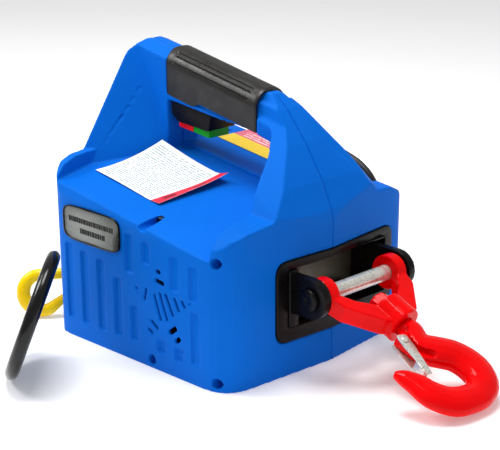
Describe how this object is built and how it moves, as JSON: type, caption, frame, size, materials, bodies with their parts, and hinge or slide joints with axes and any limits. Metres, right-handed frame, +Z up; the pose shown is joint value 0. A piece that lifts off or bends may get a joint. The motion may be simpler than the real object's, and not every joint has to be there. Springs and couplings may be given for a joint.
{
  "type": "wire rope puller",
  "caption": "Portable electric wire rope puller: moulded casing with a carrying handle, swivel hook on a pivoting fork, rope drum drive, rope end with load hook and stop disc.",
  "frame": {"origin": "centre of the casing's footprint, on the surface that it stands on", "axes": "+Z up; +X towards the fork and its fixed hook; -Y towards the vented side with the nameplate"},
  "size_m": [0.5261, 0.5507, 0.2988],
  "materials": {
    "casing_blue": "satin moulded nylon",
    "grip_rubber": "moulded, fine grain",
    "black_plastic": "satin moulded",
    "gloss_black": "glossy moulded",
    "hook_red": "gloss powder coat",
    "hook_yellow": "gloss powder coat",
    "zinc": "bright zinc plate",
    "steel": "machined",
    "cast_grey": "sand cast, painted",
    "copper": "varnished copper windings",
    "paper": "printed label",
    "sticker": "printed sticker",
    "plate_metal": "brushed, printed",
    "button_red": "moulded",
    "button_green": "moulded",
    "board": "lacquered laminate",
    "cord_rubber": "smooth sheath",
    "rope_wire": "galvanised strands"
  },
  "bodies": {
    "casing": {"front_shell": "casing_blue", "rear_shell": "casing_blue", "handle_grip": "grip_rubber", "switch_housing": "black_plastic", "nameplate": "plate_metal", "instruction_label": "paper", "warning_sticker": "sticker", "mouth_bezel": "black_plastic", "anchor_plate": "cast_grey", "anchor_ear_front": "gloss_black", "anchor_ear_rear": "gloss_black", "hook_pin": "zinc", "pin_nut": "black_plastic", "side_plate_front": "steel", "side_plate_rear": "steel", "tie_rod_1": "steel", "tie_rod_2": "steel", "drum_bearing_front": "steel", "drum_bearing_rear": "steel", "gearbox_cover": "cast_grey", "motor_housing": "cast_grey", "run_capacitor": "black_plastic", "control_board": "board", "rope_outlet": "black_plastic", "limit_switch": "black_plastic", "cord_gland": "cord_rubber", "power_cord": "cord_rubber", "cord_coil": "cord_rubber", "mains_plug": "cord_rubber", "shell_screw_1": "steel", "shell_screw_2": "steel", "shell_screw_3": "steel", "shell_screw_4": "steel"},
    "reverse_button": {"reverse_button": "button_red"},
    "forward_button": {"forward_button": "button_green"},
    "fork": {"hook_fork": "hook_red"},
    "fixed_hook": {"fixed_hook": "hook_red", "swivel_nut": "hook_red", "latch_rivet": "zinc"},
    "fixed_latch": {"fixed_hook_latch": "zinc"},
    "drum": {"rope_drum": "cast_grey", "rope_winding": "rope_wire", "drum_shaft": "steel", "drum_gear": "steel"},
    "idler": {"idler_gear_small": "steel", "idler_gear_big": "steel", "idler_shaft": "steel"},
    "motor": {"motor_pinion": "steel", "motor_shaft": "steel", "motor_rotor": "copper", "cooling_fan": "black_plastic"},
    "rope_end": {"rope_run": "rope_wire", "rope_tail": "rope_wire", "rope_ferrule": "zinc", "load_hook": "hook_yellow", "stop_disc": "gloss_black"},
    "load_latch": {"load_hook_latch": "zinc"},
    "upper_roller": {"rope_roller_upper": "zinc"},
    "lower_roller": {"rope_roller_lower": "zinc"},
    "limit_lever": {"limit_lever": "steel"}
  },
  "joints": [
    {"name": "reverse_press", "type": "slide", "parent": "casing", "child": "reverse_button", "axis": [0, 0, 1], "range_m": [0, 0.0022], "stiffness_N_per_m": 400},
    {"name": "forward_press", "type": "slide", "parent": "casing", "child": "forward_button", "axis": [0, 0, 1], "range_m": [0, 0.0022], "stiffness_N_per_m": 400},
    {"name": "fork_pivot", "type": "hinge", "parent": "casing", "child": "fork", "pos_m": [0.16, 0.012, 0.0876], "axis": [0, 1, 0], "range_deg": [-110, 0.4]},
    {"name": "hook_swivel", "type": "hinge", "parent": "fork", "child": "fixed_hook", "pos_m": [0.20509, 0.012, 0.066], "axis": [0.9018, 0, -0.4321], "continuous": true},
    {"name": "fixed_latch_hinge", "type": "hinge", "parent": "fixed_hook", "child": "fixed_latch", "pos_m": [0.23756, -0.0105, 0.05044], "axis": [0.4321, 0, 0.9018], "range_deg": [0, 24], "stiffness_Nm_per_rad": 0.05},
    {"name": "drum_spin", "type": "hinge", "parent": "casing", "child": "drum", "pos_m": [0.022, 0.012, 0.087], "axis": [0, 1, 0], "range_deg": [0, 150]},
    {"name": "idler_spin", "type": "hinge", "parent": "casing", "child": "idler", "pos_m": [-0.036, 0.012, 0.087], "axis": [0, 1, 0], "range_deg": [-480, 0]},
    {"name": "motor_spin", "type": "hinge", "parent": "casing", "child": "motor", "pos_m": [0.022, 0.012, 0.087], "axis": [0, 1, 0], "range_deg": [0, 1490]},
    {"name": "rope_pull", "type": "slide", "parent": "casing", "child": "rope_end", "axis": [-1, 0, 0], "range_m": [0, 0.1]},
    {"name": "load_latch_hinge", "type": "hinge", "parent": "rope_end", "child": "load_latch", "pos_m": [-0.15623, -0.09783, 0.04102], "axis": [0.7191, -0.6592, 0.2197], "range_deg": [0, 35], "stiffness_Nm_per_rad": 0.01},
    {"name": "upper_roller_spin", "type": "hinge", "parent": "casing", "child": "upper_roller", "pos_m": [-0.114, 0.012, 0.0577], "axis": [0, 1, 0], "continuous": true},
    {"name": "lower_roller_spin", "type": "hinge", "parent": "casing", "child": "lower_roller", "pos_m": [-0.114, 0.012, 0.0413], "axis": [0, 1, 0], "continuous": true},
    {"name": "limit_lever_hinge", "type": "hinge", "parent": "casing", "child": "limit_lever", "pos_m": [-0.097, 0.012, 0.07], "axis": [0, 1, 0], "range_deg": [-12, 0], "stiffness_Nm_per_rad": 0.05}
  ],
  "couplings": [
    {"joint": "idler_spin", "follows": "drum_spin", "ratio": -3.1429},
    {"joint": "motor_spin", "follows": "drum_spin", "ratio": 9.8776},
    {"joint": "rope_pull", "follows": "drum_spin", "m_per_rad": 0.0375}
  ]
}
